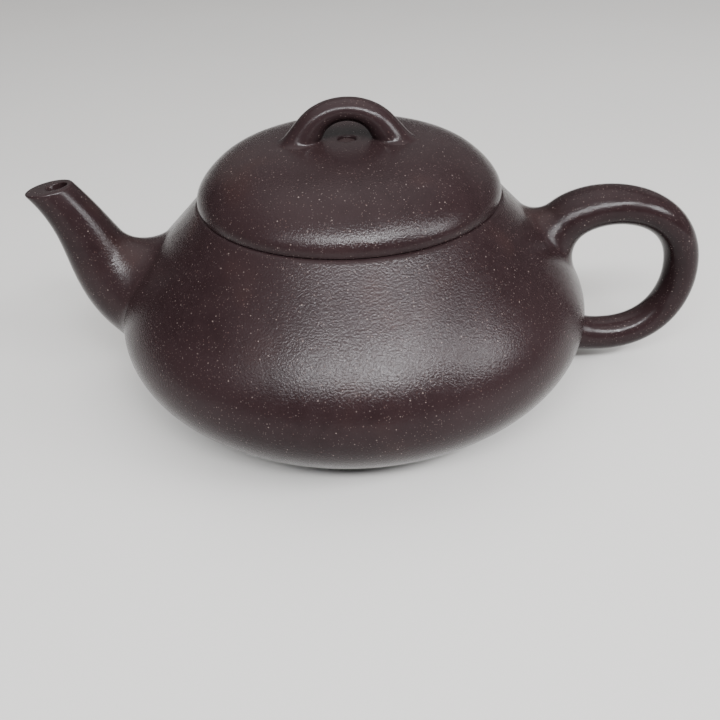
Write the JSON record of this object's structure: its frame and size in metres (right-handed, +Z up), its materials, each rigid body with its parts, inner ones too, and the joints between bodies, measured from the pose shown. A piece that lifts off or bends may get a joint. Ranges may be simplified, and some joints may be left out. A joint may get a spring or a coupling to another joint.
{
  "type": "teapot",
  "caption": "Squat unglazed clay teapot with a short curved spout, a ring handle and a domed lid with a bridge knob.",
  "frame": {"origin": "on the pot's own axis, at the table under the foot", "axes": "+Z up along the pot's axis, +X towards the handle, -X towards the spout, +Y away from someone who has the spout on their left"},
  "size_m": [0.1418, 0.1, 0.064],
  "materials": {
    "clay": "unglazed purple-brown stoneware, burnished to a satin sheen, with fine pale grains",
    "raw_clay": "the same clay left unburnished and matt where pieces seat or stand"
  },
  "bodies": {
    "pot": {"body_wall": "clay", "base_disc": "raw_clay", "mouth_ring": "clay", "spout": "clay", "handle": "clay"},
    "neck": {"lid_flange": "raw_clay"},
    "lid": {"lid_seat_ring": "raw_clay", "lid_dome": "clay", "knob": "clay"}
  },
  "joints": [
    {"name": "lid_lift", "type": "slide", "parent": "pot", "child": "neck", "axis": [0, 0, 1], "range_m": [0, 0.05]},
    {"name": "lid_turn", "type": "hinge", "parent": "neck", "child": "lid", "pos_m": [0, 0, 0.045], "axis": [0, 0, 1], "continuous": true}
  ]
}
